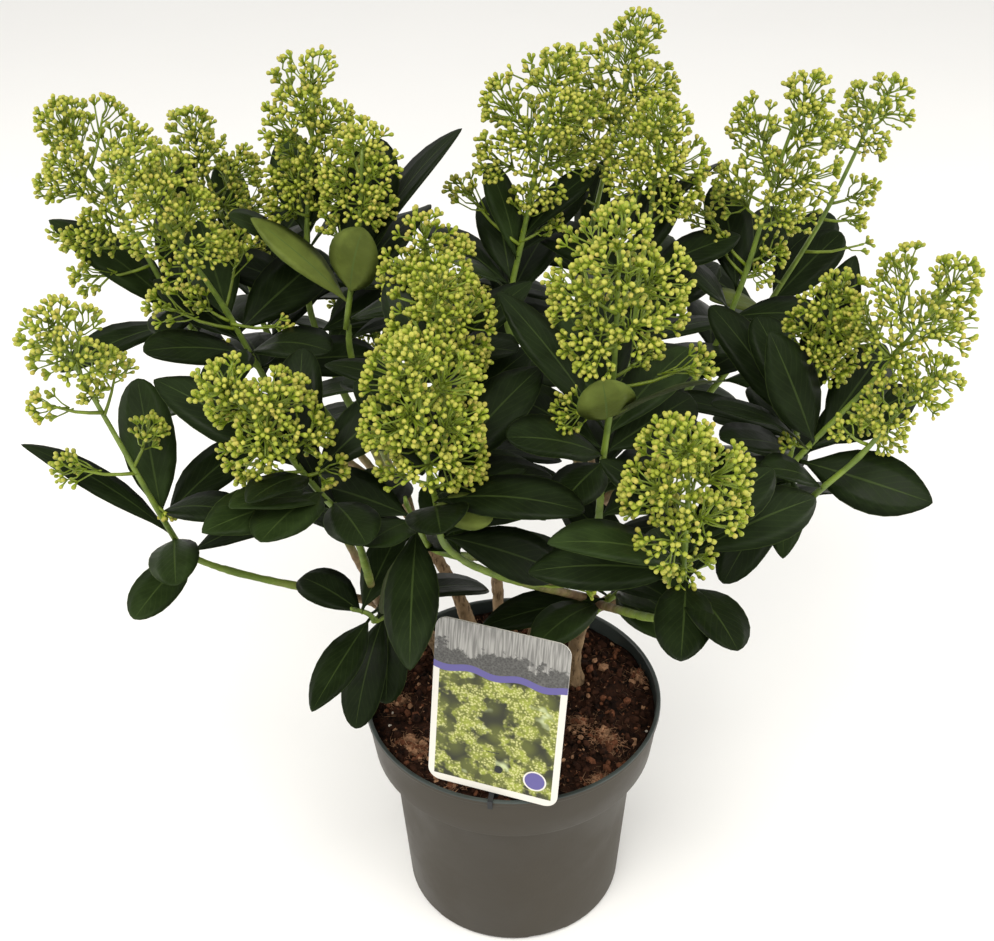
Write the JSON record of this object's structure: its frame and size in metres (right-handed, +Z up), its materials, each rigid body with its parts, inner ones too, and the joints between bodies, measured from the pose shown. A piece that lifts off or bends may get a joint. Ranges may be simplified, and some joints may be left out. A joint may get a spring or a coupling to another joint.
{
  "type": "potted skimmia shrub",
  "caption": "Evergreen skimmia shrub in bud, with whorls of glossy leaves under panicles of green-yellow buds, in a round plastic pot with a plant label.",
  "frame": {"origin": "centre of the pot's flat underside, which stands on the ground", "axes": "+Z up, -Y towards the front with the label, +X to the right seen from the front"},
  "size_m": [0.5346, 0.4792, 0.5503],
  "materials": {
    "plastic": "warm grey moulded plastic, satin, slightly dusty",
    "peat": "dark brown damp peat with fibres and bark crumbs",
    "card": null,
    "bark": "tan-brown bark, finely cracked",
    "green_wood": "smooth green young wood",
    "foliage": "glossy dark green leaves and yellow-green buds"
  },
  "bodies": {
    "root": {"pot": "plastic", "soil": "peat", "label": "card", "stem_right": "bark", "stem_left": "bark", "stem_centre": "bark", "stem_back_left": "bark", "stem_back_right": "bark", "bough_left": "green_wood", "bough_front_left": "green_wood", "bough_upper_left": "green_wood", "bough_front": "green_wood", "bough_front_right": "green_wood", "bough_right_centre": "green_wood", "bough_right": "green_wood", "bough_right_outer": "green_wood", "bough_right_inner": "green_wood", "bough_centre_front": "green_wood", "bough_centre": "green_wood", "bough_far_left": "green_wood", "bough_far_left_inner": "green_wood", "bough_back_left_tall": "green_wood", "bough_back_left_inner": "green_wood", "bough_back_centre": "green_wood", "bough_back_tall": "green_wood", "bough_back_right_inner": "green_wood", "bough_back_right": "green_wood", "bough_far_right": "green_wood", "bough_behind_left": "green_wood", "bough_behind": "green_wood", "bough_behind_right": "green_wood", "bough_low_right": "green_wood", "bough_low_left": "green_wood", "bough_low_centre": "green_wood", "foliage_left": "foliage", "foliage_front_left": "foliage", "foliage_upper_left": "foliage", "foliage_front": "foliage", "foliage_front_right": "foliage", "foliage_right_centre": "foliage", "foliage_right": "foliage", "foliage_right_outer": "foliage", "foliage_right_inner": "foliage", "foliage_centre_front": "foliage", "foliage_centre": "foliage", "foliage_far_left": "foliage", "foliage_far_left_inner": "foliage", "foliage_back_left_tall": "foliage", "foliage_back_left_inner": "foliage", "foliage_back_centre": "foliage", "foliage_back_tall": "foliage", "foliage_back_right_inner": "foliage", "foliage_back_right": "foliage", "foliage_far_right": "foliage", "foliage_behind_left": "foliage", "foliage_behind": "foliage", "foliage_behind_right": "foliage", "foliage_low_right": "foliage", "foliage_low_left": "foliage", "foliage_low_centre": "foliage"}
  },
  "joints": []
}
